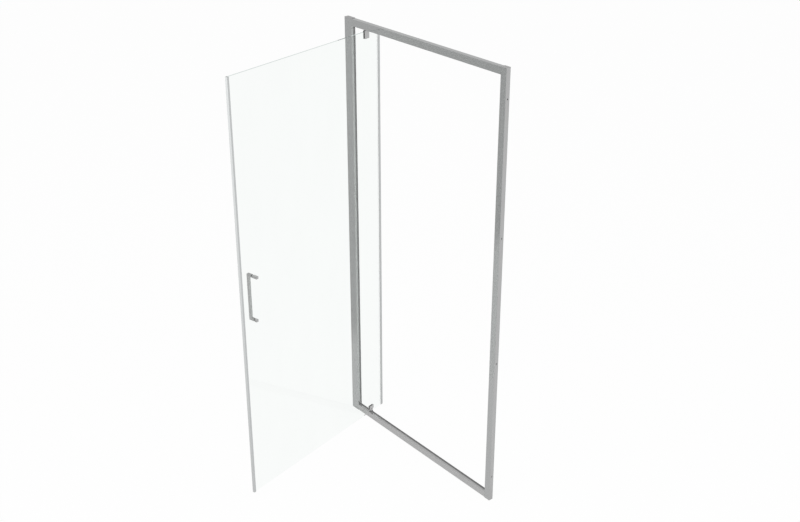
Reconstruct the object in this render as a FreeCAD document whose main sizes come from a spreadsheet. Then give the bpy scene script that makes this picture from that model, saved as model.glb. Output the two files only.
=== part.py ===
import FreeCAD, Part
import Sketcher
import os
import re

# Pivot shower door: a full aluminium frame with one clear glass leaf that turns on two pins
# set in from the left post, so that a short tail swings inward while the leaf swings outward.
# Frame of reference: origin under the middle of the sill, +X along the opening towards the
# strike post, -Y towards the user outside, +Z up.  Millimetres.
# The leaf is drawn in its own closed frame: u runs from the pins to the free edge, n points
# inward, both measured from the pin axis, and the whole leaf is then turned open.

SIZES = {
    # frame
    "frame_width": 984,
    "frame_height": 1950,
    "frame_depth": 21,
    "left_post_width": 47,
    "right_post_width": 30.5,
    "header_height": 30,
    "sill_height": 28,
    "profile_wall": 1.5,
    "groove_width": 9.5,
    "groove_depth": 4,
    "corner_ease": 0.4,
    "port_block": 7,
    # wall channels inside the posts
    "channel_reach": 18,
    "channel_wall": 1.5,
    "channel_play": 0.15,
    "wall_hole_radius": 2.75,
    "wall_hole_inset": 120,
    "wall_hole_pitch": 570,
    # caps on both ends of the posts
    "cap_thickness": 2,
    "plug_depth": 6,
    "fit_play": 0.3,
    # screws that hold the frame together
    "rail_screw_radius": 1.95,
    "rail_screw_length": 24,
    "rail_head_radius": 3.4,
    "rail_head_height": 2.6,
    "post_screw_length": 7,
    "post_screw_setback": 9,
    "post_screw_inset": 150,
    "hole_play": 0.15,
    "thread_play": 0.05,
    "cover_radius": 5.4,
    "cover_height": 4,
    "cover_wall": 1,
    # frame seals
    "seal_play": 0.15,
    "seal_rounding": 1.2,
    "strike_magnet_width": 7,
    "strike_magnet_thickness": 1.8,
    # glass leaf
    "pivot_setback": 135,
    "open_angle": 77.2,
    "glass_thickness": 6,
    "glass_bottom": 32.5,
    "glass_head_gap": 6.5,
    "free_gap": 0.5,
    "tail_gap": 0.5,
    # free edge profile and its magnet
    "free_profile_width": 10,
    "free_profile_thickness": 11,
    "free_glass_bite": 5.5,
    "free_web": 1,
    "free_nose": 0.8,
    "free_magnet_width": 7.6,
    # tail edge seal
    "tail_seal_width": 17,
    "tail_seal_thickness": 8,
    "tail_bulb_width": 4.5,
    "tail_bulb_chamfer": 1.6,
    "tail_wall": 1,
    # pivots
    "pin_radius": 2.5,
    "pin_chamfer": 0.8,
    "running_play": 0.05,
    "press_play": 0.02,
    "pivot_block_length": 40,
    "block_screw_radius": 1.6,
    "block_screw_length": 17,
    "block_screw_pitch": 24,
    "flange_radius": 10,
    "flange_thickness": 3.6,
    "hub_radius": 9,
    "washer_thickness": 1.7,
    "shoe_width": 29,
    "shoe_plate": 2,
    "shoe_pad": 0.5,
    "shoe_edge": 0.5,
    "top_shoe_height": 35,
    "bottom_shoe_height": 18,
    "top_shoe_gap": 2,
    "bottom_shoe_level": 46,
    "shoe_grip": 7.5,
    "insert_width": 19.4,
    "shoe_screw_radius": 1.5,
    "shoe_screw_pitch": 12.6,
    "countersink_radius": 2.9,
    # handle
    "handle_inset": 72.3,
    "handle_level": 963.6,
    "handle_length": 213,
    "handle_section": 11,
    "handle_reach": 25.5,
    "handle_rounding": 2.5,
    "handle_edge": 0.8,
    "handle_washer": 1.5,
    "handle_cap_lower_length": 11,
    "handle_cap_upper_length": 24.9,
    "bolt_radius": 2.5,
    "bolt_bite": 11,
    "bolt_head_radius": 4.2,
    "bolt_head_height": 2.8,
    "glass_hole_radius": 4,
    "sleeve_play": 0.2,
}

# Places worked out from the sizes above, as expressions.
LEFT_FACE = "(-frame_width/2)"
RIGHT_FACE = "(frame_width/2)"
FRONT = "(-frame_depth/2)"
BACK = "(frame_depth/2)"
LEFT_OPENING = f"({LEFT_FACE} + left_post_width)"
RIGHT_OPENING = f"({RIGHT_FACE} - right_post_width)"
OPENING_WIDTH = f"({RIGHT_OPENING} - {LEFT_OPENING})"
HEADER_UNDERSIDE = "(frame_height - header_height)"
GROOVE_BACK = f"({BACK} - profile_wall)"
GROOVE_FRONT = f"({GROOVE_BACK} - groove_width)"
RAIL_SKIN = "(groove_depth + profile_wall)"
PORT_Y = f"({BACK} - profile_wall - port_block/2)"
PORT_DROP = "(profile_wall + port_block/2)"
CHANNEL_HALF = "(frame_depth/2 - profile_wall - channel_play)"
PIVOT_X = f"({LEFT_FACE} + pivot_setback)"

GLASS_TOP = f"({HEADER_UNDERSIDE} - glass_head_gap)"
GLASS_HEIGHT = f"({GLASS_TOP} - glass_bottom)"
FREE_END = f"({RIGHT_OPENING} - free_gap - {PIVOT_X})"
TAIL_END = f"(-({PIVOT_X} - {LEFT_OPENING} - tail_gap))"
GLASS_FREE = f"({FREE_END} - free_profile_width + free_glass_bite)"
TAIL_WEB = f"({TAIL_END} + tail_bulb_width)"
GLASS_TAIL = f"({TAIL_WEB} + tail_wall)"
HALF_GLASS = "(glass_thickness/2)"

BLOCK_NEAR = "(profile_wall + port_block + fit_play)"
SILL_BLOCK_FAR = f"(sill_height - {RAIL_SKIN} - fit_play)"
HEADER_BLOCK_FAR = f"(header_height - {RAIL_SKIN} - fit_play)"
BOTTOM_SHOE_TOP = "(bottom_shoe_level + bottom_shoe_height)"
TOP_SHOE_TOP = f"({HEADER_UNDERSIDE} - top_shoe_gap)"
TOP_SHOE_LEVEL = f"({TOP_SHOE_TOP} - top_shoe_height)"
BOTTOM_NOTCH = f"({BOTTOM_SHOE_TOP} - shoe_grip)"
TOP_NOTCH = f"({TOP_SHOE_LEVEL} + shoe_grip)"
NOTCH_HALF = "(insert_width/2 + fit_play)"
PAD_FACE = f"({HALF_GLASS} + shoe_pad)"
SHOE_FACE = f"({PAD_FACE} + shoe_plate)"

HANDLE_U = f"({FREE_END} - handle_inset)"
HANDLE_LOW = "(handle_level - handle_length/2)"
HANDLE_HIGH = "(handle_level + handle_length/2)"
LOWER_ARM = f"({HANDLE_LOW} + handle_section/2)"
UPPER_ARM = f"({HANDLE_HIGH} - handle_section/2)"
BAR_OUTER = f"({HALF_GLASS} + handle_reach)"
ARM_END = f"({HALF_GLASS} + handle_washer)"

FOUR_LEVELS = (
    "wall_hole_inset",
    "(frame_height/2 - wall_hole_pitch/2)",
    "(frame_height/2 + wall_hole_pitch/2)",
    "(frame_height - wall_hole_inset)",
)
THREE_LEVELS = ("post_screw_inset", "(frame_height/2)", "(frame_height - post_screw_inset)")

# How far apart two places may be and still count as one.
NEAR = 1e-4

doc = FreeCAD.newDocument("pivot_shower_door")
nodes = {}


# ---------------------------------------------------------------- shared drawing helpers

def make_sheet():
    """The driving dimensions, one row each: name, value, alias."""
    table = doc.addObject("Spreadsheet::Sheet", "sizes")
    for row, (name, size) in enumerate(SIZES.items(), 1):
        table.set(f"A{row}", name)
        table.set(f"B{row}", str(size))
        table.setAlias(f"B{row}", name)
    doc.recompute()
    return table


sheet = make_sheet()


def rule(text):
    """Puts the sheet's name in front of every size named in an expression."""
    return re.sub(r"[a-z_]+", lambda word: prefixed(word.group()), text)


def prefixed(word):
    return f"sizes.{word}" if word in SIZES else word


def size_of(text):
    """The present value of an expression."""
    return float(sheet.evalExpression(rule(text)))


def bind(item, prop, text):
    item.setExpression(prop, rule(text))


def mirrored(base, sign, distance):
    """A distance measured from a base, in the direction of the sign."""
    return f"({base} + {sign}*({distance}))"


def new_body(name):
    body = doc.addObject("PartDesign::Body", name)
    body.Label = name
    body.AllowCompound = True
    return body


def node(item, name):
    """Registers an object as a sub-part with its own file."""
    item.Label = name
    nodes[name] = item
    return item


def sketch_on(body, role, offset):
    """A sketch on one of the body's origin planes, moved along the plane's normal."""
    sketch = body.newObject("Sketcher::SketchObject", f"{body.Name}_sketch")
    plane = next(item for item in body.Origin.OriginFeatures if item.Role == role)
    sketch.AttachmentSupport = (plane, "")
    sketch.MapMode = "FlatFace"
    bind(sketch, "AttachmentOffset.Base.z", offset)
    return sketch


def draw_outline(sketch, points):
    """A closed outline of straight lines, each corner held by two sizes."""
    first = sketch.GeometryCount
    places = [(size_of(across), size_of(along)) for across, along in points]
    count = len(points)
    for index, (across, along) in enumerate(places):
        next_across, next_along = places[(index + 1) % count]
        start = FreeCAD.Vector(across, along, 0)
        end = FreeCAD.Vector(next_across, next_along, 0)
        sketch.addGeometry(Part.LineSegment(start, end), False)
    for index in range(count):
        following = first + (index + 1) % count
        sketch.addConstraint(Sketcher.Constraint("Coincident", first + index, 2, following, 1))
    for index, corner in enumerate(points):
        for kind, text, place in zip(("DistanceX", "DistanceY"), corner, places[index]):
            limit = Sketcher.Constraint(kind, -1, 1, first + index, 1, place)
            bind(sketch, f"Constraints[{sketch.addConstraint(limit)}]", text)


def draw_circle(sketch, across, along, radius):
    centre = FreeCAD.Vector(size_of(across), size_of(along), 0)
    circle = Part.Circle(centre, FreeCAD.Vector(0, 0, 1), size_of(radius))
    index = sketch.addGeometry(circle, False)
    limits = (
        (Sketcher.Constraint("DistanceX", -1, 1, index, 3, centre.x), across),
        (Sketcher.Constraint("DistanceY", -1, 1, index, 3, centre.y), along),
        (Sketcher.Constraint("Radius", index, circle.Radius), radius),
    )
    for limit, text in limits:
        bind(sketch, f"Constraints[{sketch.addConstraint(limit)}]", text)


def box_outline(low_across, low_along, high_across, high_along):
    return [(low_across, low_along), (high_across, low_along),
            (high_across, high_along), (low_across, high_along)]


def pad(body, role, offset, length, outlines=(), circles=()):
    """Extrudes outlines and circles from a plane at the offset, along the plane's normal."""
    sketch = sketch_on(body, role, offset)
    for points in outlines:
        draw_outline(sketch, points)
    for across, along, radius in circles:
        draw_circle(sketch, across, along, radius)
    feature = body.newObject("PartDesign::Pad", f"{body.Name}_pad")
    feature.Profile = sketch
    bind(feature, "Length", length)
    doc.recompute()
    return body


def pocket(body, role, offset, depth, outlines=(), circles=()):
    """Cuts outlines and circles against the plane's normal, and checks that it cut."""
    before = body.Shape.Volume
    sketch = sketch_on(body, role, offset)
    for points in outlines:
        draw_outline(sketch, points)
    for across, along, radius in circles:
        draw_circle(sketch, across, along, radius)
    feature = body.newObject("PartDesign::Pocket", f"{body.Name}_pocket")
    feature.Profile = sketch
    bind(feature, "Length", depth)
    doc.recompute()
    if body.Shape.Volume >= before:
        raise ValueError(f"a pocket of {body.Label} cut nothing")
    return body


def turned(name, points):
    """A round piece about the body's own Z axis, from its half section in radius and level."""
    body = new_body(name)
    sketch = sketch_on(body, "XZ_Plane", "0")
    draw_outline(sketch, points)
    feature = body.newObject("PartDesign::Revolution", f"{name}_turn")
    feature.Profile = sketch
    feature.ReferenceAxis = (sketch, ["V_Axis"])
    feature.Angle = 360
    doc.recompute()
    return body


def soften(body, kind, radius, wanted):
    """Rounds or chamfers the edges of the body's present shape that the test wants."""
    names = [f"Edge{index}" for index, edge in enumerate(body.Shape.Edges, 1) if wanted(edge)]
    if not names:
        raise ValueError(f"no edge of {body.Label} to soften")
    base = body.Tip
    feature = body.newObject(f"PartDesign::{kind}", f"{body.Name}_{kind.lower()}")
    feature.Base = (base, names)
    bind(feature, "Radius" if kind == "Fillet" else "Size", radius)
    body.Tip = feature
    doc.recompute()
    return body


def runs_along(edge, axis):
    """True for a straight edge parallel to an axis given as 0, 1 or 2."""
    if edge.Curve.TypeId != "Part::GeomLine":
        return False
    return abs(edge.tangentAt(edge.FirstParameter)[axis]) > 0.999


def lies_at(edge, axis, place):
    """True where both ends of an edge are at one place along an axis."""
    return all(abs(vertex.Point[axis] - size_of(place)) < NEAR for vertex in edge.Vertexes)


def is_rim(edge, radius, level):
    """True for a level circle of a radius, such as the rim of a round piece."""
    if edge.Curve.TypeId != "Part::GeomCircle" or not lies_at(edge, 2, level):
        return False
    return abs(edge.Curve.Radius - size_of(radius)) < NEAR


def ease_corners(body, axis):
    """Breaks an extrusion's long corner edges on its front and back faces."""
    return soften(body, "Chamfer", "corner_ease",
                  lambda edge: runs_along(edge, axis) and (lies_at(edge, 1, FRONT) or lies_at(edge, 1, BACK)))


def place(item, across="0", depth="0", level="0"):
    bind(item, "Placement.Base.x", across)
    bind(item, "Placement.Base.y", depth)
    bind(item, "Placement.Base.z", level)
    return item


def hang(item):
    """Turns a piece of the leaf from its closed frame to the open leaf on the pin axis."""
    item.Placement = FreeCAD.Placement(FreeCAD.Vector(), FreeCAD.Rotation(FreeCAD.Vector(0, 0, -1), 1))
    bind(item, "Placement.Rotation.Angle", "open_angle")
    return place(item, PIVOT_X)


def group(name, members):
    """Several separate solids that share one node."""
    compound = doc.addObject("Part::Compound", name)
    compound.Links = members
    doc.recompute()
    return node(compound, name)


def copies(master, name, places, turn):
    """Copies of a master piece at a list of places, all turned alike, as one node."""
    members = []
    for index, (across, depth, level) in enumerate(places, 1):
        copy = doc.addObject("App::Link", f"{name}_{index}")
        copy.LinkedObject = master
        copy.Placement = FreeCAD.Placement(FreeCAD.Vector(), turn)
        members.append(place(copy, across, depth, level))
    return group(name, members)


TO_PLUS_X = FreeCAD.Rotation(FreeCAD.Vector(0, 1, 0), 90)
TO_MINUS_X = FreeCAD.Rotation(FreeCAD.Vector(0, 1, 0), -90)
TO_PLUS_Y = FreeCAD.Rotation(FreeCAD.Vector(1, 0, 0), -90)
TO_MINUS_Y = FreeCAD.Rotation(FreeCAD.Vector(1, 0, 0), 90)
TO_PLUS_Z = FreeCAD.Rotation()
TO_MINUS_Z = FreeCAD.Rotation(FreeCAD.Vector(1, 0, 0), 180)


# ---------------------------------------------------------------- screws, drawn head up

def hex_socket(body, top, across_corners, depth):
    """A hexagon socket in the top of a screw that stands on its own axis."""
    half = f"({across_corners}/2)"
    flat = f"({across_corners}*sqrt(3)/4)"
    quarter = f"({across_corners}/4)"
    corners = [(half, "0"), (quarter, flat), (f"-{quarter}", flat),
               (f"-{half}", "0"), (f"-{quarter}", f"-{flat}"), (quarter, f"-{flat}")]
    return pocket(body, "XY_Plane", top, depth, [corners])


def pan_screw(name, radius, length, head_radius, head_height):
    """Head above level 0, shank with a short point below it."""
    body = turned(name, [("0", f"-{length}"), (f"{radius}/2", f"-{length}"),
                         (radius, f"-{length} + {radius}"), (radius, "0"), (head_radius, "0"),
                         (head_radius, f"{head_height}*0.6"), (f"{head_radius}*0.7", head_height),
                         ("0", head_height)])
    return hex_socket(body, head_height, head_radius, f"{head_height}*0.5")


def countersunk_screw(name, radius, length, head_radius):
    """Head flush with level 0, everything below it."""
    body = turned(name, [("0", f"-{length}"), (f"{radius}/2", f"-{length}"),
                         (radius, f"-{length} + {radius}"), (radius, f"-({head_radius} - {radius})"),
                         (head_radius, "0"), ("0", "0")])
    return hex_socket(body, "0", f"({head_radius}*0.9)", f"({head_radius}*0.4)")


# ---------------------------------------------------------------- frame

def post(name, face, sign, width, open_side):
    """A post: a C section open to the wall, with a seal groove in its opening side."""
    def corner(distance, depth):
        return mirrored(face, sign, distance), depth
    skin = f"({width} - {RAIL_SKIN})"
    section = [
        corner("0", FRONT), corner(width, FRONT), corner(width, GROOVE_FRONT),
        corner(f"{width} - groove_depth", GROOVE_FRONT), corner(f"{width} - groove_depth", GROOVE_BACK),
        corner(width, GROOVE_BACK), corner(width, BACK), corner("0", BACK), corner("0", GROOVE_BACK),
        corner(skin, GROOVE_BACK), corner(skin, f"{GROOVE_FRONT} - profile_wall"),
        corner(f"{width} - profile_wall", f"{GROOVE_FRONT} - profile_wall"),
        corner(f"{width} - profile_wall", f"{FRONT} + profile_wall"), corner("0", f"{FRONT} + profile_wall"),
    ]
    body = new_body(name)
    pad(body, "XY_Plane", "0", "frame_height", [section])
    holes = [(depth, level, "rail_screw_radius + hole_play")
             for depth in (PORT_Y, f"-{PORT_Y}") for level in (PORT_DROP, f"(frame_height - {PORT_DROP})")]
    pocket(body, "YZ_Plane", f"{open_side} + fit_play", f"{RAIL_SKIN} + 2*fit_play", circles=holes)
    fixings = [(mirrored(face, sign, "post_screw_setback"), level, "rail_screw_radius + hole_play")
               for level in THREE_LEVELS]
    pocket(body, "XZ_Plane", f"-({GROOVE_BACK} - fit_play)", "profile_wall + 2*fit_play", circles=fixings)
    ease_corners(body, 2)
    return node(body, name)


def wall_channel(name, face, sign, web_side):
    """The channel that is screwed to the wall and that the post slides over."""
    def corner(distance, depth):
        return mirrored(face, sign, distance), depth
    inner = f"({CHANNEL_HALF} - channel_wall)"
    section = [
        corner("0", f"-{CHANNEL_HALF}"), corner("channel_reach", f"-{CHANNEL_HALF}"),
        corner("channel_reach", f"-{inner}"), corner("channel_wall", f"-{inner}"),
        corner("channel_wall", inner), corner("channel_reach", inner),
        corner("channel_reach", CHANNEL_HALF), corner("0", CHANNEL_HALF),
    ]
    body = new_body(name)
    pad(body, "XY_Plane", "0", "frame_height", [section])
    holes = [("0", level, "wall_hole_radius") for level in FOUR_LEVELS]
    pocket(body, "YZ_Plane", f"{web_side} + fit_play", "channel_wall + 2*fit_play", circles=holes)
    pilots = [(mirrored(face, sign, "post_screw_setback"), level, "rail_screw_radius + thread_play")
              for level in THREE_LEVELS]
    pocket(body, "XZ_Plane", f"-({inner} - fit_play)", "channel_wall + 2*fit_play", circles=pilots)
    return node(body, name)


def rail(name, base, sign, height, skin_top):
    """Header or sill: closed towards the base, with screw ports there and a seal groove opposite."""
    def corner(depth, distance):
        return depth, mirrored(base, sign, distance)
    outer = [
        corner(FRONT, "0"), corner(BACK, "0"), corner(BACK, height), corner(GROOVE_BACK, height),
        corner(GROOVE_BACK, f"{height} - groove_depth"), corner(GROOVE_FRONT, f"{height} - groove_depth"),
        corner(GROOVE_FRONT, height), corner(FRONT, height),
    ]
    port_side = f"({BACK} - profile_wall - port_block)"
    port_top = "(profile_wall + port_block)"
    shelf = f"({height} - {RAIL_SKIN})"
    step = f"({GROOVE_FRONT} - profile_wall)"
    hollow = [
        corner(f"-{port_side}", "profile_wall"), corner(port_side, "profile_wall"),
        corner(port_side, port_top), corner(GROOVE_BACK, port_top), corner(GROOVE_BACK, shelf),
        corner(step, shelf), corner(step, f"{height} - profile_wall"),
        corner(f"{FRONT} + profile_wall", f"{height} - profile_wall"),
        corner(f"{FRONT} + profile_wall", port_top), corner(f"-{port_side}", port_top),
    ]
    ports = [(depth, mirrored(base, sign, PORT_DROP), "rail_screw_radius + thread_play")
             for depth in (PORT_Y, f"-{PORT_Y}")]
    body = new_body(name)
    pad(body, "YZ_Plane", LEFT_OPENING, OPENING_WIDTH, [outer, hollow], ports)
    pin_hole = [(PIVOT_X, "0", "pin_radius + hole_play")]
    pocket(body, "XY_Plane", f"{skin_top} + fit_play", f"{RAIL_SKIN} + 2*fit_play", circles=pin_hole)
    sink_block_screws(body, base, sign)
    ease_corners(body, 0)
    return node(body, name)


def sink_block_screws(body, base, sign):
    """Two countersunk holes in the closed face, for the screws of the pivot block."""
    sketch = sketch_on(body, "XY_Plane", base)
    for side in ("-", "+"):
        draw_circle(sketch, f"{PIVOT_X} {side} block_screw_pitch/2", "0", "block_screw_radius + hole_play")
    doc.recompute()
    before = body.Shape.Volume
    hole = body.newObject("PartDesign::Hole", f"{body.Name}_hole")
    hole.Profile = sketch
    hole.Threaded = False
    hole.DepthType = "Dimension"
    hole.DrillPoint = "Flat"
    hole.HoleCutType = "Countersink"
    hole.HoleCutCustomValues = True
    hole.HoleCutCountersinkAngle = 90
    hole.Reversed = sign == "1"
    bind(hole, "Diameter", "2*(block_screw_radius + hole_play)")
    bind(hole, "HoleCutDiameter", "2*(countersink_radius + hole_play)")
    bind(hole, "Depth", "profile_wall + fit_play")
    doc.recompute()
    if body.Shape.Volume >= before:
        raise ValueError(f"the screw holes of {body.Label} cut nothing")


def post_cap(name, face, sign, low, plug_low, rim):
    """A flat cap on one end of a post, with a plug that sits inside the wall channel."""
    def across(distance):
        return mirrored(face, sign, distance)
    width = "left_post_width" if sign == "1" else "right_post_width"
    half = f"({CHANNEL_HALF} - channel_wall - fit_play)"
    body = new_body(name)
    pad(body, "XY_Plane", low, "cap_thickness", [box_outline(across("0"), FRONT, across(width), BACK)])
    plug = box_outline(across("channel_wall + fit_play"), f"-{half}", across("channel_reach"), half)
    pad(body, "XY_Plane", plug_low, "plug_depth", [plug])
    soften(body, "Chamfer", "cap_thickness/4", lambda edge: lies_at(edge, 2, rim))
    return node(body, name)


def upright_seal(name, face, sign, width, keeps_magnet):
    """A rubber strip in a post's groove, between the sill and the header."""
    def corner(distance, depth):
        return mirrored(face, sign, distance), depth
    floor = f"({width} - groove_depth)"
    lip = f"({width} - seal_play)"
    low = f"({GROOVE_FRONT} + seal_play)"
    high = f"({GROOVE_BACK} - seal_play)"
    section = [corner(floor, low), corner(lip, low), corner(lip, high), corner(floor, high)]
    if keeps_magnet:
        middle = f"(({low} + {high})/2)"
        half = "(strike_magnet_width/2 + seal_play)"
        inner = f"({floor} + strike_magnet_thickness + seal_play)"
        section += [corner(floor, f"{middle} + {half}"), corner(inner, f"{middle} + {half}"),
                    corner(inner, f"{middle} - {half}"), corner(floor, f"{middle} - {half}")]
    body = new_body(name)
    pad(body, "XY_Plane", "sill_height", f"{HEADER_UNDERSIDE} - sill_height", [section])
    outer_face = mirrored(face, sign, lip)
    soften(body, "Fillet", "seal_rounding", lambda edge: runs_along(edge, 2) and lies_at(edge, 0, outer_face))
    return node(body, name)


def rail_seal(name, base, sign, height, clear_half):
    """A rubber strip in a rail's groove, in two lengths that stop at the pivot."""
    floor = mirrored(base, sign, f"{height} - groove_depth")
    lip = mirrored(base, sign, f"{height} - seal_play")
    low = f"({GROOVE_FRONT} + seal_play)"
    high = f"({GROOVE_BACK} - seal_play)"
    ends = ((LEFT_OPENING, f"({PIVOT_X} - {clear_half})"),
            (f"({PIVOT_X} + {clear_half})", RIGHT_OPENING))
    body = new_body(name)
    section = box_outline(low, floor, high, lip)
    for start, end in ends:
        pad(body, "YZ_Plane", start, f"{end} - {start}", [section])
    soften(body, "Fillet", "seal_rounding", lambda edge: runs_along(edge, 0) and lies_at(edge, 2, lip))
    return node(body, name)


def strike_magnet():
    """The magnetic strip behind the right-hand seal."""
    floor = f"({RIGHT_OPENING} + groove_depth)"
    middle = f"(({GROOVE_FRONT} + {GROOVE_BACK})/2)"
    section = box_outline(f"{floor} - strike_magnet_thickness", f"{middle} - strike_magnet_width/2",
                          floor, f"{middle} + strike_magnet_width/2")
    body = new_body("strike_magnet")
    pad(body, "XY_Plane", "sill_height", f"{HEADER_UNDERSIDE} - sill_height", [section])
    return node(body, "strike_magnet")


def corner_screws():
    """Two screws at each corner, from inside the posts into the rails' ports."""
    master = pan_screw("rail_screw", "rail_screw_radius", "rail_screw_length",
                       "rail_head_radius", "rail_head_height")
    levels = (PORT_DROP, f"(frame_height - {PORT_DROP})")
    for side, face, sign, turn in (("left", LEFT_FACE, "1", TO_MINUS_X),
                                   ("right", RIGHT_FACE, "-1", TO_PLUS_X)):
        width = f"{side}_post_width"
        seats = ((PORT_Y, f"({width} - {RAIL_SKIN})"), (f"-{PORT_Y}", f"({width} - profile_wall)"))
        spots = [(mirrored(face, sign, seat), depth, level) for level in levels for depth, seat in seats]
        copies(master, f"corner_screws_{side}", spots, turn)


def post_screws():
    """Screws from the back of each post into its wall channel, each under a snap cover."""
    screw = pan_screw("post_screw", "rail_screw_radius", "post_screw_length",
                      "rail_head_radius", "rail_head_height")
    cover = turned("screw_cover", [("cover_radius - cover_wall", "0"), ("cover_radius", "0"),
                                   ("cover_radius", "cover_height*0.6"), ("cover_radius*0.7", "cover_height"),
                                   ("0", "cover_height"), ("0", "cover_height - cover_wall"),
                                   ("cover_radius*0.7", "cover_height - cover_wall"),
                                   ("cover_radius - cover_wall", "cover_height*0.5")])
    for side, face, sign in (("left", LEFT_FACE, "1"), ("right", RIGHT_FACE, "-1")):
        spots = [(mirrored(face, sign, "post_screw_setback"), BACK, level) for level in THREE_LEVELS]
        copies(screw, f"post_screws_{side}", spots, TO_PLUS_Y)
        copies(cover, f"screw_covers_{side}", spots, TO_PLUS_Y)


# ---------------------------------------------------------------- pivots in the frame

def pivot_block(name, base, sign, far):
    """The block inside a rail that holds the pin."""
    low = mirrored(base, sign, BLOCK_NEAR) if sign == "1" else mirrored(base, sign, far)
    thickness = f"({far} - {BLOCK_NEAR})"
    half = f"({BACK} - profile_wall - fit_play)"
    body = new_body(name)
    pad(body, "XY_Plane", low, thickness, [box_outline(f"{PIVOT_X} - pivot_block_length/2", f"-{half}",
                                                       f"{PIVOT_X} + pivot_block_length/2", half)])
    holes = [(PIVOT_X, "0", "pin_radius + press_play")]
    holes += [(f"{PIVOT_X} {side} block_screw_pitch/2", "0", "block_screw_radius + thread_play")
              for side in ("-", "+")]
    pocket(body, "XY_Plane", f"{low} + {thickness} + fit_play", f"{thickness} + 2*fit_play", circles=holes)
    return node(body, name)


def block_screws():
    """Countersunk screws through the closed faces of sill and header into the blocks."""
    master = countersunk_screw("block_screw", "block_screw_radius", "block_screw_length",
                               "countersink_radius")
    for end, level, turn in (("bottom", "0", TO_MINUS_Z), ("top", "frame_height", TO_PLUS_Z)):
        spots = [(f"{PIVOT_X} {side} block_screw_pitch/2", "0", level) for side in ("-", "+")]
        copies(master, f"{end}_block_screws", spots, turn)


def pivot_pin(name, low, high):
    shaft = "pin_radius"
    body = turned(name, [("0", low), (f"{shaft} - pin_chamfer", low), (shaft, f"{low} + pin_chamfer"),
                         (shaft, f"{high} - pin_chamfer"), (f"{shaft} - pin_chamfer", high), ("0", high)])
    place(body, PIVOT_X)
    return node(body, name)


def pivot_ring(name, radius, low, high, rim):
    """A ring on the pin between two levels, with its outer rim broken at one of them."""
    bore = "(pin_radius + press_play)"
    body = turned(name, [(bore, low), (radius, low), (radius, high), (bore, high)])
    soften(body, "Chamfer", "shoe_edge", lambda edge: is_rim(edge, radius, rim))
    place(body, PIVOT_X)
    return node(body, name)


def pivot_rings():
    """The rubber flange on the sill, the bearing collar on it, and the washer under the header."""
    shoulder = "(sill_height + flange_thickness)"
    collar_top = "(bottom_shoe_level - fit_play)"
    washer_low = f"({HEADER_UNDERSIDE} - washer_thickness)"
    pivot_ring("bottom_pivot_flange", "flange_radius", "sill_height", shoulder, shoulder)
    pivot_ring("bottom_pivot_collar", "hub_radius", shoulder, collar_top, collar_top)
    pivot_ring("top_pivot_washer", "hub_radius", washer_low, HEADER_UNDERSIDE, washer_low)


# ---------------------------------------------------------------- leaf

def door_glass():
    """The pane, notched at both pivots and drilled for the handle."""
    collar_top = "bottom_shoe_level"
    collar_half = "(flange_radius + fit_play)"
    outline = [
        (GLASS_TAIL, "glass_bottom"), (f"-{collar_half}", "glass_bottom"), (f"-{collar_half}", collar_top),
        (f"-{NOTCH_HALF}", collar_top), (f"-{NOTCH_HALF}", BOTTOM_NOTCH), (NOTCH_HALF, BOTTOM_NOTCH),
        (NOTCH_HALF, collar_top), (collar_half, collar_top), (collar_half, "glass_bottom"),
        (GLASS_FREE, "glass_bottom"), (GLASS_FREE, GLASS_TOP), (NOTCH_HALF, GLASS_TOP),
        (NOTCH_HALF, TOP_NOTCH), (f"-{NOTCH_HALF}", TOP_NOTCH), (f"-{NOTCH_HALF}", GLASS_TOP),
        (GLASS_TAIL, GLASS_TOP),
    ]
    holes = [(HANDLE_U, level, "glass_hole_radius") for level in (LOWER_ARM, UPPER_ARM)]
    body = new_body("door_glass")
    pad(body, "XZ_Plane", f"-{HALF_GLASS}", "glass_thickness", [outline], holes)
    return node(hang(body), "door_glass")


def free_edge_profile():
    """The edge profile on the free edge: a slot for the glass and a chamber for the magnet."""
    half = "(free_profile_thickness/2)"
    start = f"({FREE_END} - free_profile_width)"
    web = f"({GLASS_FREE} + free_web)"
    nose = f"({FREE_END} - free_nose)"
    chamber_half = "(free_magnet_width/2 + seal_play)"
    outer = [(start, f"-{half}"), (FREE_END, f"-{half}"), (FREE_END, half), (start, half),
             (start, HALF_GLASS), (GLASS_FREE, HALF_GLASS), (GLASS_FREE, f"-{HALF_GLASS}"),
             (start, f"-{HALF_GLASS}")]
    chamber = box_outline(web, f"-{chamber_half}", nose, chamber_half)
    body = new_body("free_edge_profile")
    pad(body, "XY_Plane", "glass_bottom", GLASS_HEIGHT, [outer, chamber])
    soften(body, "Fillet", "free_web", lambda edge: runs_along(edge, 2) and lies_at(edge, 0, FREE_END))
    return node(hang(body), "free_edge_profile")


def free_edge_magnet():
    low = f"({GLASS_FREE} + free_web + press_play)"
    high = f"({FREE_END} - free_nose - press_play)"
    section = box_outline(low, "-free_magnet_width/2", high, "free_magnet_width/2")
    body = new_body("free_edge_magnet")
    pad(body, "XY_Plane", "glass_bottom", GLASS_HEIGHT, [section])
    return node(hang(body), "free_edge_magnet")


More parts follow.
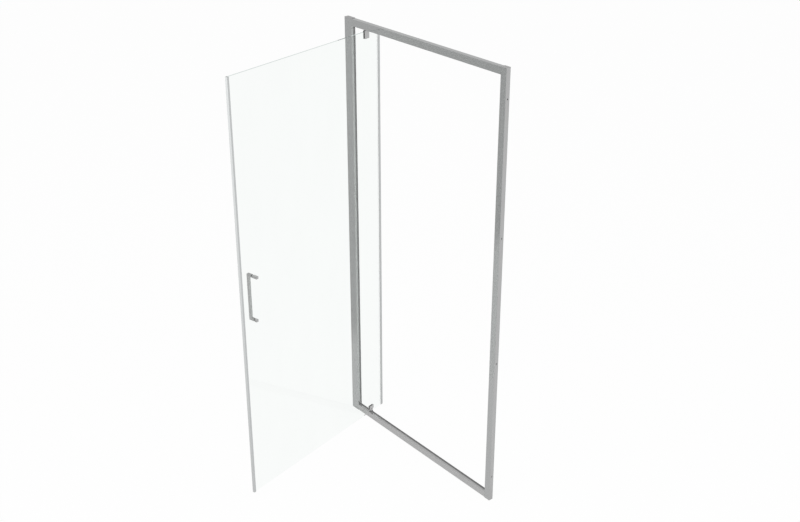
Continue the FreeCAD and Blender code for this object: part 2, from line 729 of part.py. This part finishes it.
def tail_edge_seal():
    """The soft seal on the tail edge: a slot for the glass and a hollow bulb."""
    half = "(tail_seal_thickness/2)"
    open_end = f"({TAIL_END} + tail_seal_width)"
    flat = f"({half} - tail_bulb_chamfer)"
    shoulder = f"({TAIL_END} + tail_bulb_chamfer)"
    outer = [(open_end, f"-{half}"), (open_end, f"-{HALF_GLASS}"), (GLASS_TAIL, f"-{HALF_GLASS}"),
             (GLASS_TAIL, HALF_GLASS), (open_end, HALF_GLASS), (open_end, half), (shoulder, half),
             (TAIL_END, flat), (TAIL_END, f"-{flat}"), (shoulder, f"-{half}")]
    inner = box_outline(shoulder, f"-({half} - tail_wall)", TAIL_WEB, f"({half} - tail_wall)")
    body = new_body("tail_edge_seal")
    pad(body, "XY_Plane", "glass_bottom", GLASS_HEIGHT, [outer, inner])
    return node(hang(body), "tail_edge_seal")


# ---------------------------------------------------------------- pivot shoes on the leaf

def screw_spots(level):
    """The two shoe screws, either side of the pin, at a level."""
    return [(f"{side}shoe_screw_pitch/2", level) for side in ("-", "")]


def shoe_plates(end, low, high, level):
    """The inner plate with its blind screw holes, and the outer plate with its screw seats."""
    outline = box_outline("-shoe_width/2", low, "shoe_width/2", high)
    blind = [(across, along, "shoe_screw_radius + thread_play") for across, along in screw_spots(level)]
    clear = [(across, along, "shoe_screw_radius + hole_play") for across, along in screw_spots(level)]

    inner = new_body(f"{end}_shoe_inner_plate")
    pad(inner, "XZ_Plane", f"-{SHOE_FACE}", "shoe_plate", [outline])
    pocket(inner, "XZ_Plane", f"-({PAD_FACE} - fit_play)", "shoe_plate*0.85 + fit_play", circles=blind)
    soften(inner, "Chamfer", "shoe_edge", lambda edge: lies_at(edge, 1, SHOE_FACE))
    node(hang(inner), f"{end}_shoe_inner_plate")

    outer = new_body(f"{end}_shoe_outer_plate")
    pad(outer, "XZ_Plane", PAD_FACE, "shoe_plate", [outline], clear)
    sink_shoe_screws(outer, level)
    outer_face = f"-{SHOE_FACE}"
    soften(outer, "Chamfer", "shoe_edge",
           lambda edge: lies_at(edge, 1, outer_face) and edge.Curve.TypeId == "Part::GeomLine")
    node(hang(outer), f"{end}_shoe_outer_plate")


def shoe_pads(end, closed, notch, mouth):
    """Two rubber pads between the plates and the glass, notched as the glass is."""
    outline = [("-shoe_width/2", closed), ("shoe_width/2", closed), ("shoe_width/2", mouth),
               (NOTCH_HALF, mouth), (NOTCH_HALF, notch), (f"-{NOTCH_HALF}", notch),
               (f"-{NOTCH_HALF}", mouth), ("-shoe_width/2", mouth)]
    pads = new_body(f"{end}_shoe_pads")
    for start in (f"-{PAD_FACE}", HALF_GLASS):
        pad(pads, "XZ_Plane", start, "shoe_pad", [outline])
    node(hang(pads), f"{end}_shoe_pads")


def sink_shoe_screws(body, level):
    """Conical seats for the screw heads in the outer plate's outer face."""
    before = body.Shape.Volume
    for across, along in screw_spots(level):
        sketch = sketch_on(body, "YZ_Plane", across)
        reach = "(countersink_radius + hole_play)"
        depth = f"(-({SHOE_FACE}))"
        draw_outline(sketch, [(depth, along), (f"{depth} + {reach}", along), (depth, f"{along} + {reach}")])
        seat = body.newObject("PartDesign::Groove", f"{body.Name}_seat")
        seat.Profile = sketch
        seat.ReferenceAxis = (sketch, ["Edge1"])
        seat.Angle = 360
        doc.recompute()
    if body.Shape.Volume >= before:
        raise ValueError(f"the screw seats of {body.Label} cut nothing")


def shoe_insert(name, low, high, level):
    """The nylon bearing block that fills the notch between the plates and turns on the pin."""
    body = new_body(name)
    outline = box_outline("-insert_width/2", low, "insert_width/2", high)
    clear = [(across, along, "shoe_screw_radius + hole_play") for across, along in screw_spots(level)]
    pad(body, "XZ_Plane", f"-{PAD_FACE}", f"2*{PAD_FACE}", [outline], clear)
    bore = [("0", "0", "pin_radius + running_play")]
    pocket(body, "XY_Plane", f"{high} + fit_play", f"{high} - {low} + 2*fit_play", circles=bore)
    return node(hang(body), name)


def shoes():
    """Both shoes, each with its bearing insert and screws."""
    length = f"(2*{SHOE_FACE} - shoe_plate*0.25)"
    screw = countersunk_screw("shoe_screw", "shoe_screw_radius", length, "countersink_radius")
    top_level = f"(({TOP_NOTCH} + {TOP_SHOE_TOP})/2)"
    bottom_level = f"((bottom_shoe_level + {BOTTOM_NOTCH})/2)"
    for end, low, high, insert_low, insert_high, level in (
            ("top", TOP_SHOE_LEVEL, TOP_SHOE_TOP, f"({TOP_NOTCH} + fit_play)", TOP_SHOE_TOP, top_level),
            ("bottom", "bottom_shoe_level", BOTTOM_SHOE_TOP, "bottom_shoe_level",
             f"({BOTTOM_NOTCH} - fit_play)", bottom_level)):
        shoe_plates(end, low, high, level)
        shoe_insert(f"{end}_pivot_insert", insert_low, insert_high, level)
        spots = [(across, f"(-{SHOE_FACE})", along) for across, along in screw_spots(level)]
        hang(copies(screw, f"{end}_shoe_screws", spots, TO_MINUS_Y))
    shoe_pads("top", TOP_SHOE_LEVEL, TOP_NOTCH, TOP_SHOE_TOP)
    shoe_pads("bottom", BOTTOM_SHOE_TOP, BOTTOM_NOTCH, "bottom_shoe_level")


# ---------------------------------------------------------------- handle

def handle_bar():
    """The square D handle outside the glass, with a tapped hole in the end of each arm."""
    end = f"-{ARM_END}"
    outer = f"-{BAR_OUTER}"
    inner = f"-({BAR_OUTER} - handle_section)"
    section = [(end, HANDLE_HIGH), (outer, HANDLE_HIGH), (outer, HANDLE_LOW), (end, HANDLE_LOW),
               (end, f"{HANDLE_LOW} + handle_section"), (inner, f"{HANDLE_LOW} + handle_section"),
               (inner, f"{HANDLE_HIGH} - handle_section"), (end, f"{HANDLE_HIGH} - handle_section")]
    body = new_body("handle_bar")
    pad(body, "YZ_Plane", f"{HANDLE_U} - handle_section/2", "handle_section", [section])
    soften(body, "Fillet", "handle_rounding", lambda edge: runs_along(edge, 0) and lies_at(edge, 1, outer))
    sides = [f"{HANDLE_U} {side} handle_section/2" for side in ("-", "+")]
    soften(body, "Fillet", "handle_edge",
           lambda edge: any(lies_at(edge, 0, side) for side in sides) and not lies_at(edge, 1, end))
    taps = [(HANDLE_U, level, "bolt_radius + thread_play") for level in (LOWER_ARM, UPPER_ARM)]
    pocket(body, "XZ_Plane", f"{ARM_END} + bolt_bite", "bolt_bite + fit_play", circles=taps)
    return node(hang(body), "handle_bar")


def handle_fixings():
    """Washers, glass sleeves, bolts and inner stubs at the two arms, the upper stub the longer."""
    levels = (LOWER_ARM, UPPER_ARM)
    half = "(handle_section/2)"
    faces = {level: box_outline(f"{HANDLE_U} - {half}", f"{level} - {half}",
                                f"{HANDLE_U} + {half}", f"{level} + {half}") for level in levels}
    for name, start in (("handle_washers_outer", HALF_GLASS), ("handle_washers_inner", f"-{ARM_END}")):
        washers = new_body(name)
        clear = [(HANDLE_U, level, "bolt_radius + hole_play") for level in levels]
        pad(washers, "XZ_Plane", start, "handle_washer", list(faces.values()), clear)
        node(hang(washers), name)

    sleeves = new_body("handle_glass_sleeves")
    rings = [(HANDLE_U, level, radius) for level in levels
             for radius in ("glass_hole_radius - sleeve_play", "bolt_radius + hole_play")]
    pad(sleeves, "XZ_Plane", f"-{HALF_GLASS}", "glass_thickness", circles=rings)
    node(hang(sleeves), "handle_glass_sleeves")

    length = f"(2*{ARM_END} + bolt_bite - fit_play)"
    bolt = pan_screw("handle_bolt", "bolt_radius", length, "bolt_head_radius", "bolt_head_height")
    hang(copies(bolt, "handle_bolts", [(HANDLE_U, ARM_END, level) for level in levels], TO_PLUS_Y))

    for name, level in (("handle_cap_lower", LOWER_ARM), ("handle_cap_upper", UPPER_ARM)):
        cap_face = f"({ARM_END} + {name}_length)"
        cap = new_body(name)
        pad(cap, "XZ_Plane", f"-{cap_face}", f"{name}_length", [faces[level]])
        room = [(HANDLE_U, level, "bolt_head_radius + fit_play")]
        pocket(cap, "XZ_Plane", f"-({ARM_END} - fit_play)", "bolt_head_height + 2*fit_play", circles=room)
        soften(cap, "Fillet", "handle_edge", lambda edge: lies_at(edge, 1, cap_face))
        node(hang(cap), name)


# ---------------------------------------------------------------- the whole door

def build():
    post("post_left", LEFT_FACE, "1", "left_post_width", LEFT_OPENING)
    post("post_right", RIGHT_FACE, "-1", "right_post_width", f"({RIGHT_OPENING} + {RAIL_SKIN})")
    wall_channel("wall_channel_left", LEFT_FACE, "1", f"({LEFT_FACE} + channel_wall)")
    wall_channel("wall_channel_right", RIGHT_FACE, "-1", RIGHT_FACE)
    rail("sill_rail", "0", "1", "sill_height", "sill_height")
    rail("header_rail", "frame_height", "-1", "header_height", f"({HEADER_UNDERSIDE} + {RAIL_SKIN})")
    for side, face, sign in (("left", LEFT_FACE, "1"), ("right", RIGHT_FACE, "-1")):
        post_cap(f"post_cap_{side}", face, sign, "frame_height", "(frame_height - plug_depth)",
                 "(frame_height + cap_thickness)")
        post_cap(f"post_foot_{side}", face, sign, "(-cap_thickness)", "0", "(-cap_thickness)")
    upright_seal("post_seal_left", LEFT_FACE, "1", "left_post_width", False)
    upright_seal("post_seal_right", RIGHT_FACE, "-1", "right_post_width", True)
    strike_magnet()
    rail_seal("sill_seal", "0", "1", "sill_height", "(flange_radius + fit_play)")
    rail_seal("header_seal", "frame_height", "-1", "header_height", "(hub_radius + fit_play)")
    corner_screws()
    post_screws()
    pivot_block("bottom_pivot_block", "0", "1", SILL_BLOCK_FAR)
    pivot_block("top_pivot_block", "frame_height", "-1", HEADER_BLOCK_FAR)
    block_screws()
    pivot_pin("bottom_pivot_pin", f"({BLOCK_NEAR} + fit_play)", f"({BOTTOM_NOTCH} - 5*fit_play)")
    pivot_pin("top_pivot_pin", f"({TOP_NOTCH} + 5*fit_play)", f"(frame_height - {BLOCK_NEAR} - fit_play)")
    pivot_rings()
    door_glass()
    free_edge_profile()
    free_edge_magnet()
    tail_edge_seal()
    shoes()
    handle_bar()
    handle_fixings()


def check_document():
    """Stops on any failed object or bad sub-part shape."""
    doc.recompute()
    for item in doc.Objects:
        if "Invalid" in item.State or "Error" in item.State:
            raise ValueError(f"{item.Name} ({item.Label}) is in state {item.State}")
    for name, item in nodes.items():
        shape = item.Shape
        if shape.isNull() or not shape.isValid() or not shape.Solids:
            raise ValueError(f"{name} has no valid solid")


def write_files():
    os.makedirs("parts", exist_ok=True)
    for name, item in nodes.items():
        item.Shape.exportStep(f"parts/{name}.step")
        print(f"{name}: {len(item.Shape.Solids)} solids, {item.Shape.Volume / 1000:.2f} cm3")


build()
check_document()
write_files()
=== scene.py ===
import math

import bpy
from mathutils import Matrix, Vector


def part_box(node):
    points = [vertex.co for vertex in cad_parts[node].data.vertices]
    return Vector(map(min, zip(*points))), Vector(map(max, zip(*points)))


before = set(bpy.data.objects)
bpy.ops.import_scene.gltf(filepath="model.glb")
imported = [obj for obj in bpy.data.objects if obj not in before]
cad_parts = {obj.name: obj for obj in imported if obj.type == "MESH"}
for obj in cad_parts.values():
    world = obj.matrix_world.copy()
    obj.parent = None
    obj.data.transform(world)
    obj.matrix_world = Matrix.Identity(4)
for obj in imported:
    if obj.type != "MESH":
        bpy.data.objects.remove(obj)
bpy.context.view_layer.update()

# The leaf's own directions in the row frame at rest: u runs from the pins to the free edge and
# n from the outside to the inside.
OPEN_ANGLE = math.radians(77.2)
PIVOT = Vector((-0.357, 0, 0))
LEAF_U = Vector((math.cos(OPEN_ANGLE), -math.sin(OPEN_ANGLE), 0))
LEAF_N = Vector((math.sin(OPEN_ANGLE), math.cos(OPEN_ANGLE), 0))

# Where the strips on the leaf change their look, in metres along n and u.
OUTER_LEG_N = -0.0024
OUTER_LEG_U = -0.0812
MILKY_END_U = -0.0722
NOSE_U = 0.81755

# The height where the bottom pin's collar changes from its dark lower part, painted shade under the shoe,
# to its pale hub.
COLLAR_SPLIT = 0.0385

# How warm a grey is: both lean slightly towards cyan, the metal less.
COOL_PLASTIC = -0.025
COOL_METAL = -0.014


# ---------------------------------------------------------------- node helpers

class Nodes:
    """The node tree of a material or world, with short calls for the nodes used here."""

    def __init__(self, owner, output):
        self.owner = owner
        owner.use_nodes = True
        self.tree = owner.node_tree
        self.tree.nodes.clear()
        self.output = self.add(output)

    def add(self, kind, **settings):
        node = self.tree.nodes.new(kind)
        for key, value in settings.items():
            setattr(node, key, value)
        return node

    def link(self, source, target):
        self.tree.links.new(source, target)

    def put(self, socket, value):
        """Sets a socket to a plain value, or links it if the value is a socket."""
        if isinstance(value, bpy.types.NodeSocket):
            self.link(value, socket)
        else:
            socket.default_value = value

    def principled(self, **sockets):
        shader = self.add("ShaderNodeBsdfPrincipled")
        for key, value in sockets.items():
            self.put(shader.inputs[key.replace("_", " ")], value)
        return shader

    def math(self, operation, *values):
        node = self.add("ShaderNodeMath", operation=operation)
        for socket, value in zip(node.inputs, values):
            self.put(socket, value)
        return node.outputs[0]

    def place(self):
        """The piece's own coordinates in metres."""
        return self.add("ShaderNodeTexCoord").outputs["Object"]

    def axes(self, vector):
        """A vector's three parts."""
        node = self.add("ShaderNodeSeparateXYZ")
        self.link(vector, node.inputs[0])
        return node.outputs["X"], node.outputs["Y"], node.outputs["Z"]

    def noise(self, scale, detail=2.0, roughness=0.5):
        """Noise with as many cells in a metre along x, y and z as the scale says."""
        mapping = self.add("ShaderNodeMapping")
        mapping.inputs["Scale"].default_value = scale
        self.link(self.place(), mapping.inputs["Vector"])
        node = self.add("ShaderNodeTexNoise")
        self.link(mapping.outputs["Vector"], node.inputs["Vector"])
        node.inputs["Scale"].default_value = 1.0
        node.inputs["Detail"].default_value = detail
        node.inputs["Roughness"].default_value = roughness
        return node.outputs["Fac"]

    def spread(self, value, low, high, start=0.3, stop=0.7):
        """Maps a value from start..stop to low..high."""
        node = self.add("ShaderNodeMapRange")
        self.link(value, node.inputs["Value"])
        limits = {"From Min": start, "From Max": stop, "To Min": low, "To Max": high}
        for key, number in limits.items():
            node.inputs[key].default_value = number
        return node.outputs["Result"]

    def step(self, value, at, low=0, high=1, half=0.0002):
        """Goes from low to high where a value passes a number."""
        return self.spread(value, low, high, at - half, at + half)

    def blend(self, factor, first, second):
        """A colour between two colours."""
        node = self.add("ShaderNodeMix", data_type="RGBA")
        self.put(node.inputs[0], factor)
        self.put(node.inputs[6], first)
        self.put(node.inputs[7], second)
        return node.outputs[2]

    def speckle(self, pattern, grey, below, above, warm=0.0):
        """A grey that a pattern makes darker in places and paler in others."""
        return self.blend(self.spread(pattern, 0, 1), shade(grey * below, warm), shade(grey * above, warm))

    def ramp(self, value, stops):
        """Maps a value through a list of places and greys, the places rising from 0 to 1."""
        node = self.add("ShaderNodeValToRGB")
        self.link(value, node.inputs["Fac"])
        marks = node.color_ramp.elements
        while len(marks) < len(stops):
            marks.new(0.5)
        for mark, (place, grey) in zip(marks, stops):
            mark.position = place
            mark.color = (grey, grey, grey, 1)
        return node.outputs["Color"]

    def bump(self, height, strength, distance):
        node = self.add("ShaderNodeBump")
        self.link(height, node.inputs["Height"])
        node.inputs["Strength"].default_value = strength
        node.inputs["Distance"].default_value = distance
        return node.outputs["Normal"]

    def mix_shaders(self, factor, first, second):
        node = self.add("ShaderNodeMixShader")
        self.link(factor, node.inputs[0])
        self.link(first.outputs[0], node.inputs[1])
        self.link(second.outputs[0], node.inputs[2])
        return node

    def let_light_pass(self, shader, passing):
        """Lets light on its way to what is behind through the passing shader."""
        path = self.add("ShaderNodeLightPath")
        for ray in ("Is Shadow Ray", "Is Diffuse Ray"):
            shader = self.mix_shaders(path.outputs[ray], shader, passing)
        return shader

    def finish(self, shader):
        self.link(shader.outputs[0], self.output.inputs["Surface"])
        return self.owner


def material_nodes(name):
    return Nodes(bpy.data.materials.new(name), "ShaderNodeOutputMaterial")


def shade(grey, warm=0.0):
    """A nearly neutral colour.  A warmth below zero turns it towards cyan."""
    return (grey * (1 + warm), grey, grey * (1 - max(warm, 0)), 1)


# ---------------------------------------------------------------- materials

def extruded_metal(name, along, grey, rough, metallic=0.75, contrast=0.05, warm=0.0):
    """Satin anodised extrusion: fine die lines along one axis and a slow cloudiness."""
    n = material_nodes(name)
    lines = [900.0] * 3
    lines[along] = 4.0
    slow = [5.0] * 3
    slow[along] = 1.2
    grain = n.noise(lines, detail=3.0, roughness=0.6)
    cloud = n.noise(slow)
    lined = n.speckle(grain, grey, 1 - contrast, 1 + contrast, warm)
    colour = n.blend(n.spread(cloud, 0, 0.35), lined, shade(grey * 1.06, warm))
    shader = n.principled(Base_Color=colour, Metallic=metallic,
                          Roughness=n.spread(grain, rough - 0.03, rough + 0.03),
                          Normal=n.bump(grain, 0.04, 0.0002))
    return n.finish(shader)


def rubber(name, grey, rough=0.62):
    """Matte extruded rubber with a faint bloom."""
    n = material_nodes(name)
    fine = n.noise((700, 700, 700), detail=3.0, roughness=0.7)
    bloom = n.noise((18, 18, 6))
    colour = n.blend(n.spread(bloom, 0, 0.3), n.speckle(fine, grey, 0.9, 1.1), shade(grey * 1.35))
    shader = n.principled(Base_Color=colour, Roughness=n.spread(fine, rough - 0.08, rough + 0.08),
                          Normal=n.bump(fine, 0.25, 0.0003))
    return n.finish(shader)


def moulded(name, grey, rough=0.42):
    """Moulded plastic with a fine spark texture."""
    n = material_nodes(name)
    grit = n.noise((1400, 1400, 1400), roughness=0.6)
    patch = n.noise((60, 60, 60))
    colour = n.blend(n.spread(patch, 0, 0.4), n.speckle(grit, grey, 0.96, 1.04), shade(grey * 1.05))
    shader = n.principled(Base_Color=colour, Roughness=n.spread(grit, rough - 0.06, rough + 0.06),
                          Normal=n.bump(grit, 0.2, 0.0002))
    return n.finish(shader)


def collar_plastic(name, painted_shade_grey, hub):
    """Moulded plastic with a pale hub, its lower part painted dark as painted shade under the shoe."""
    n = material_nodes(name)
    level = n.axes(n.place())[2]
    grit = n.noise((1400, 1400, 1400), roughness=0.6)
    below = n.speckle(grit, painted_shade_grey, 0.96, 1.04)
    above = n.speckle(grit, hub, 0.96, 1.04)
    # Painted shade: below the split the collar is painted dark for the shadow gap under the shoe.
    colour = n.blend(n.step(level, COLLAR_SPLIT, half=0.0003), below, above)
    shader = n.principled(Base_Color=colour, Roughness=n.spread(grit, 0.4, 0.5),
                          Normal=n.bump(grit, 0.2, 0.0002))
    return n.finish(shader)


def turned_steel(name, grey, rough=0.25):
    """Machined steel of screws and pins."""
    n = material_nodes(name)
    rings = n.noise((200, 200, 2500), detail=3.0)
    shader = n.principled(Base_Color=n.speckle(rings, grey, 0.93, 1.05), Metallic=1.0,
                          Roughness=n.spread(rings, rough - 0.06, rough + 0.08),
                          Normal=n.bump(rings, 0.1, 0.0001))
    return n.finish(shader)


def casting(name, grey):
    """Rough die-cast zinc."""
    n = material_nodes(name)
    skin = n.noise((450, 450, 450), detail=5.0, roughness=0.7)
    shader = n.principled(Base_Color=n.speckle(skin, grey, 0.85, 1.12), Metallic=0.8,
                          Roughness=n.spread(skin, 0.4, 0.6), Normal=n.bump(skin, 0.5, 0.0005))
    return n.finish(shader)


def clear_sheet(name, tint, edge, lets_through):
    """Clear glass with a tinted top edge.  Lamps reach what is behind it."""
    n = material_nodes(name)
    smear = n.noise((9, 9, 3), detail=4.0, roughness=0.6)
    darker = tuple(part * 0.992 for part in tint[:3]) + (1,)
    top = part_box("door_glass")[1][2]
    edge_depth = 0.0004
    at_top = n.step(n.axes(n.place())[2], top - edge_depth)
    colour = n.blend(at_top, n.blend(n.spread(smear, 0, 1), darker, tint), edge)
    shader = n.principled(Base_Color=colour, Roughness=0.0, IOR=1.08, Coat_Weight=0.15,
                          Transmission_Weight=1.0)
    passing = n.add("ShaderNodeBsdfTransparent")
    passing.inputs["Color"].default_value = lets_through
    return n.finish(n.let_light_pass(shader, passing))


def leaf_place(n):
    """The leaf's own u, n and height of a point, as separate values."""
    turned = n.add("ShaderNodeMapping", vector_type="POINT")
    turned.inputs["Location"].default_value = (-PIVOT.dot(LEAF_U), -PIVOT.dot(LEAF_N), 0)
    turned.inputs["Rotation"].default_value = (0, 0, OPEN_ANGLE)
    n.link(n.place(), turned.inputs["Vector"])
    return n.axes(turned.outputs["Vector"])


def milky_strip(name, grey):
    """The tail edge's strip: milky plastic with faint draw lines, and a clear leg outside the pane."""
    n = material_nodes(name)
    along, inward, _ = leaf_place(n)
    outer = n.math("MINIMUM", n.step(inward, OUTER_LEG_N, 1, 0), n.step(along, OUTER_LEG_U))
    clear = n.math("MAXIMUM", outer, n.step(along, MILKY_END_U))
    grain = n.noise((800, 800, 3), detail=3.0, roughness=0.6)
    cloud = n.noise((25, 25, 2))
    lined = n.speckle(grain, grey, 0.95, 1.05, COOL_PLASTIC)
    colour = n.blend(n.spread(cloud, 0, 0.3), lined, shade(grey * 1.08, COOL_PLASTIC))
    shader = n.principled(Base_Color=colour, Roughness=n.spread(grain, 0.38, 0.5),
                          Normal=n.bump(grain, 0.15, 0.0002), Alpha=n.spread(clear, 1.0, 0.03, 0.0, 1.0))
    return n.finish(shader)


def closing_strip(name):
    """The free edge's strip: satin grey legs and a nose at the very end, painted paler upwards as a painted
    reflection.
    """
    n = material_nodes(name)
    along, _, level = leaf_place(n)
    nose = n.step(along, NOSE_U, half=0.00015)
    # Painted reflection: the nose's grey rises with height to stand in for sheen from above.
    painted_sheen_rise = n.spread(level, 0, 1, 0.03, 1.91)
    grain = n.noise((900, 900, 4), detail=3.0, roughness=0.6)
    legs = n.blend(n.spread(grain, 0, 1), shade(0.54, COOL_PLASTIC), shade(0.58, COOL_PLASTIC))
    dull = n.blend(painted_sheen_rise, shade(0.54, COOL_PLASTIC), shade(0.79, COOL_PLASTIC))
    bright = n.blend(painted_sheen_rise, shade(0.59, COOL_PLASTIC), shade(0.84, COOL_PLASTIC))
    tip = n.blend(n.spread(grain, 0, 1), dull, bright)
    shader = n.principled(Base_Color=n.blend(nose, legs, tip), Roughness=n.spread(grain, 0.34, 0.44),
                          Normal=n.bump(grain, 0.12, 0.0002))
    return n.finish(shader)


UPRIGHT, CROSSWISE = 2, 0
LOOKS = (
    (extruded_metal("post_aluminium", UPRIGHT, grey=0.45, rough=0.09, warm=COOL_METAL),
     ["post_left", "post_right"]),
    (extruded_metal("header_aluminium", CROSSWISE, grey=0.45, rough=0.12, warm=COOL_METAL),
     ["header_rail"]),
    (extruded_metal("sill_aluminium", CROSSWISE, grey=0.485, rough=0.30), ["sill_rail"]),
    (extruded_metal("channel_aluminium", UPRIGHT, grey=0.455, rough=0.30, metallic=0.9, contrast=0.08),
     ["wall_channel_left", "wall_channel_right"]),
    (extruded_metal("handle_steel", UPRIGHT, grey=0.48, rough=0.30, metallic=0.85, contrast=0.04),
     ["handle_bar", "handle_cap_lower", "handle_cap_upper"]),
    (extruded_metal("shoe_steel", UPRIGHT, grey=0.49, rough=0.30, metallic=0.85, contrast=0.04),
     ["top_shoe_inner_plate", "top_shoe_outer_plate",
      "bottom_shoe_inner_plate", "bottom_shoe_outer_plate"]),
    (rubber("seal_rubber", grey=0.155), ["sill_seal", "header_seal"]),
    (rubber("pad_rubber", grey=0.12), ["top_shoe_pads", "bottom_shoe_pads"]),
    (rubber("washer_rubber", grey=0.36), ["handle_washers_outer", "handle_washers_inner"]),
    (rubber("jamb_rubber", grey=0.20), ["post_seal_left", "post_seal_right"]),
    (rubber("magnet_rubber", grey=0.06, rough=0.7), ["strike_magnet"]),
    (rubber("magnet_tape", grey=0.42, rough=0.5), ["free_edge_magnet"]),
    (turned_steel("screw_steel", grey=0.55),
     ["corner_screws_left", "corner_screws_right", "post_screws_left", "post_screws_right",
      "bottom_block_screws", "top_block_screws", "bottom_pivot_pin", "top_pivot_pin",
      "top_shoe_screws", "bottom_shoe_screws", "handle_bolts"]),
    (moulded("cap_plastic", grey=0.36),
     ["post_cap_left", "post_cap_right", "post_foot_left", "post_foot_right"]),
    (moulded("cover_plastic", grey=0.42), ["screw_covers_left", "screw_covers_right"]),
    (moulded("nylon", grey=0.16, rough=0.5),
     ["top_pivot_washer", "top_pivot_insert", "bottom_pivot_insert", "handle_glass_sleeves"]),
    (moulded("flange_plastic", grey=0.34, rough=0.5), ["bottom_pivot_flange"]),
    # The collar's dark lower part is painted shade.
    (collar_plastic("collar_plastic", painted_shade_grey=0.10, hub=0.55), ["bottom_pivot_collar"]),
    (casting("zinc", grey=0.38), ["bottom_pivot_block", "top_pivot_block"]),
    (clear_sheet("pane", tint=(0.962, 0.980, 0.970, 1), edge=(0.48, 0.55, 0.53, 1),
                 lets_through=(0.985, 0.99, 0.988, 1)), ["door_glass"]),
    (milky_strip("milky_strip", grey=0.54), ["tail_edge_seal"]),
    (closing_strip("closing_strip"), ["free_edge_profile"]),
)

for material, names in LOOKS:
    for name in names:
        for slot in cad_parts[name].material_slots:
            slot.material = material


# ---------------------------------------------------------------- stage, light and camera

def white_seen(n, shader, share, in_gloss):
    """Shows plain white to the camera and through glass, a grey in gloss, and the shader to all else."""
    path = n.add("ShaderNodeLightPath").outputs
    seen = n.math("MAXIMUM", path["Is Camera Ray"], path["Is Glossy Ray"])
    seen = n.math("MAXIMUM", seen, path["Is Transmission Ray"])
    mirrored = n.math("GREATER_THAN", path["Glossy Depth"], 0.5)
    white = n.add("ShaderNodeEmission")
    n.link(n.blend(mirrored, shade(1.0), in_gloss), white.inputs["Color"])
    return n.mix_shaders(n.math("MULTIPLY", seen, share), shader, white)


def floor_grey(n):
    """The floor as gloss sees it: white behind the frame, pale in front, greyer past a line on the left."""
    across, ahead, _ = n.axes(n.place())
    slanted = n.spread(n.math("MULTIPLY_ADD", ahead, -1.0, across), 0, 1, -2.0, 0.5)
    far_left = n.ramp(slanted, [(0.0, 0.715), (0.25, 0.705), (0.5, 0.63), (1.0, 0.59)])
    near = n.spread(n.math("MULTIPLY_ADD", ahead, -0.2535, across), 0, 1, -1.02, -0.87)
    behind = n.spread(ahead, 0, 1, 0.0, 0.1)
    return n.blend(behind, n.blend(near, far_left, shade(0.88)), shade(1.0))


def make_floor():
    reach = 14
    level = -0.0025
    corners = [(-reach, -reach, level), (reach, -reach, level),
               (reach, reach, level), (-reach, reach, level)]
    mesh = bpy.data.meshes.new("floor")
    mesh.from_pydata(corners, [], [(0, 1, 2, 3)])
    floor = bpy.data.objects.new("floor", mesh)
    bpy.context.scene.collection.objects.link(floor)
    n = material_nodes("floor_white")
    diffuse = n.add("ShaderNodeBsdfDiffuse")
    diffuse.inputs["Color"].default_value = shade(0.9)
    mesh.materials.append(n.finish(white_seen(n, diffuse, share=0.96, in_gloss=floor_grey(n))))


def make_world():
    """Plain white to the camera and through glass, softer as a light and in gloss."""
    n = Nodes(bpy.data.worlds.new("studio"), "ShaderNodeOutputWorld")
    path = n.add("ShaderNodeLightPath")
    sky = n.add("ShaderNodeBackground")
    sky.inputs["Color"].default_value = shade(1.0)
    strength = 0.62
    for ray, wanted in (("Is Glossy Ray", 0.74), ("Is Transmission Ray", 1.0), ("Is Camera Ray", 1.0)):
        mix = n.add("ShaderNodeMix")
        n.link(path.outputs[ray], mix.inputs[0])
        n.put(mix.inputs[2], strength)
        n.put(mix.inputs[3], wanted)
        strength = mix.outputs[0]
    n.link(strength, sky.inputs["Strength"])
    bpy.context.scene.world = n.finish(sky)


def area_lamp(name, place, target, power):
    data = bpy.data.lights.new(name, "AREA")
    data.shape = "DISK"
    data.size = 4.0
    data.energy = power
    lamp = bpy.data.objects.new(name, data)
    bpy.context.scene.collection.objects.link(lamp)
    lamp.location = place
    lamp.rotation_mode = "QUATERNION"
    lamp.rotation_quaternion = (Vector(target) - Vector(place)).to_track_quat("-Z", "Y")


def make_lights():
    area_lamp("key", (5.5, 0.5, 4.5), (0, 0, 1), power=105)
    area_lamp("front_fill", (1.0, -5.0, 5.0), (0, 0, 0.9), power=115)


def make_camera():
    """The photograph's viewpoint, solved from the frame's straight edges."""
    place = (3.45465, -2.96029, 3.19139)
    yaw = math.radians(50.485)
    pitch = math.radians(25.939)
    data = bpy.data.cameras.new("camera")
    data.sensor_width = 36.0
    data.lens = 52.714
    data.clip_end = 100
    camera = bpy.data.objects.new("camera", data)
    bpy.context.scene.collection.objects.link(camera)
    level = math.cos(pitch)
    forward = Vector((-math.sin(yaw) * level, math.cos(yaw) * level, -math.sin(pitch)))
    right = Vector((math.cos(yaw), math.sin(yaw), 0))
    up = right.cross(forward)
    turn = Matrix((right, up, -forward)).transposed()
    camera.matrix_world = Matrix.Translation(place) @ turn.to_4x4()
    bpy.context.scene.camera = camera


make_floor()
make_world()
make_lights()
make_camera()
bpy.context.scene.view_settings.view_transform = "Standard"
